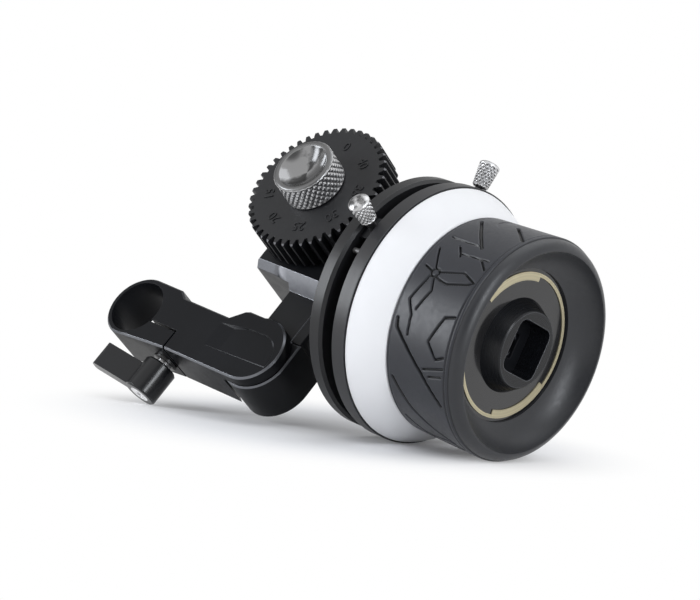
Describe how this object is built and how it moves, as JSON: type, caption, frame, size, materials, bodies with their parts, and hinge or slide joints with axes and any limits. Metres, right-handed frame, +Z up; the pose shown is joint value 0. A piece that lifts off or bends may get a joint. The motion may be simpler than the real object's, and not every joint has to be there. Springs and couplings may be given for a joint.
{
  "type": "follow focus unit",
  "caption": "Manual follow focus for a 15 mm rod: split clamp with lever, swing arm, gearbox with a lens drive gear, and a handwheel with marking ring and end stops.",
  "frame": {"origin": "on the table, under the middle of the unit's box, with the unit lying as it is set down: on two edges of the knob and on the hub of the clamp lever", "axes": "+Z up from the table; +X the way the knob's front points, seen from above; +Y towards the gearbox's back"},
  "size_m": [0.1246, 0.0638, 0.0739],
  "materials": {
    "black_anodised": "black anodised aluminium, satin, with bright machined edges",
    "dark_grey_anodised": "dark grey anodised aluminium, turned",
    "dark_steel": "dark turned steel with bright edges",
    "black_screw_steel": "black oxide steel",
    "stainless": "turned and knurled stainless steel",
    "bearing_steel": "ground bearing steel",
    "shaft_steel": "ground steel",
    "brass": "cut brass",
    "bronze_bush": "sintered bronze",
    "gear_black": "black moulded acetal, fine satin",
    "white_ring": "matt white marking surface",
    "grip_rubber": "black moulded rubber",
    "gloss_black": "gloss black disc, bare",
    "cream_trim": "cream gold trim ring, bare",
    "washer_plastic": "acetal washer"
  },
  "bodies": {
    "gearbox": {"gearbox_housing": "black_anodised", "gearbox_side_cover": "black_anodised", "side_cover_screws": "black_screw_steel", "gearbox_back_cover": "black_anodised", "back_cover_screws": "black_screw_steel", "idler_bearings": "bearing_steel", "drive_bearings": "bearing_steel", "knob_bearing_inner": "bearing_steel", "knob_bearing_outer": "bearing_steel", "bearing_tube": "black_anodised", "stop_flange": "dark_grey_anodised", "flange_screws": "black_screw_steel", "pivot_bush": "bronze_bush"},
    "knob": {"knob_shaft": "shaft_steel", "knob_bevel_pinion": "brass", "front_disc": "dark_grey_anodised", "disc_screws": "black_screw_steel", "stop_pin": "stainless", "marking_ring": "white_ring", "wheel_core": "black_anodised", "rubber_grip": "grip_rubber", "front_rim": "black_anodised", "label_disc": "gloss_black", "trim_ring": "cream_trim", "crank_socket": "dark_steel", "socket_plate": "black_anodised", "hub_screw": "black_screw_steel"},
    "idler": {"idler_shaft": "shaft_steel", "idler_bevel_gear": "brass", "idler_spur_gear": "brass"},
    "drive": {"drive_shaft": "shaft_steel", "drive_spur_gear": "brass", "gear_dowels": "shaft_steel", "drive_gear": "gear_black"},
    "thumb_nut": {"gear_thumb_nut": "stainless"},
    "arm": {"clamp_arm": "black_anodised", "clamp_washer": "stainless", "pivot_screw": "black_screw_steel", "pivot_washer": "washer_plastic"},
    "lever": {"clamp_lever": "black_anodised", "clamp_screw": "stainless", "lever_cap_screw": "stainless"},
    "stop_a": {"stop_block_a": "black_anodised"},
    "stop_b": {"stop_block_b": "black_anodised"},
    "stop_a_screw": {"stop_screw_a": "stainless"},
    "stop_b_screw": {"stop_screw_b": "stainless"}
  },
  "joints": [
    {"name": "knob_spin", "type": "hinge", "parent": "gearbox", "child": "knob", "pos_m": [0.02073, 0.00051, 0.03231], "axis": [0.9847, 0, -0.1744], "range_deg": [-4, 268]},
    {"name": "idler_spin", "type": "hinge", "parent": "gearbox", "child": "idler", "pos_m": [-0.01403, 0.00051, 0.03847], "axis": [-0.1019, 0.8114, -0.5755], "range_deg": [-268, 4]},
    {"name": "drive_spin", "type": "hinge", "parent": "gearbox", "child": "drive", "pos_m": [-0.01216, 0.00823, 0.04902], "axis": [-0.1019, 0.8114, -0.5755], "range_deg": [-3.33, 223.33]},
    {"name": "thumb_nut_turn", "type": "hinge", "parent": "drive", "child": "thumb_nut", "pos_m": [-0.01007, -0.00841, 0.06082], "axis": [0.1019, -0.8114, 0.5755], "range_deg": [0, 360]},
    {"name": "arm_swing", "type": "hinge", "parent": "gearbox", "child": "arm", "pos_m": [-0.01133, -0.01661, 0.01472], "axis": [0.1019, -0.8114, 0.5755], "range_deg": [0, 100]},
    {"name": "lever_turn", "type": "hinge", "parent": "arm", "child": "lever", "pos_m": [-0.04204, -0.02486, 0.00592], "axis": [-0.1415, -0.5845, -0.799], "range_deg": [0, 180]},
    {"name": "stop_a_slide", "type": "hinge", "parent": "gearbox", "child": "stop_a", "pos_m": [0.02073, 0.00051, 0.03231], "axis": [0.9847, 0, -0.1744], "range_deg": [-28, 0]},
    {"name": "stop_b_slide", "type": "hinge", "parent": "gearbox", "child": "stop_b", "pos_m": [0.02073, 0.00051, 0.03231], "axis": [0.9847, 0, -0.1744], "range_deg": [0, 27]},
    {"name": "stop_a_screw_turn", "type": "hinge", "parent": "stop_a", "child": "stop_a_screw", "pos_m": [0.02618, -0.02473, 0.05165], "axis": [0.1083, -0.7841, 0.6112], "range_deg": [0, 360]},
    {"name": "stop_b_screw_turn", "type": "hinge", "parent": "stop_b", "child": "stop_b_screw", "pos_m": [0.02803, 0.01061, 0.06207], "axis": [0.1656, 0.3134, 0.9351], "range_deg": [0, 360]}
  ],
  "couplings": [
    {"joint": "idler_spin", "follows": "knob_spin", "ratio": -1},
    {"joint": "drive_spin", "follows": "knob_spin", "ratio": 0.83333}
  ]
}
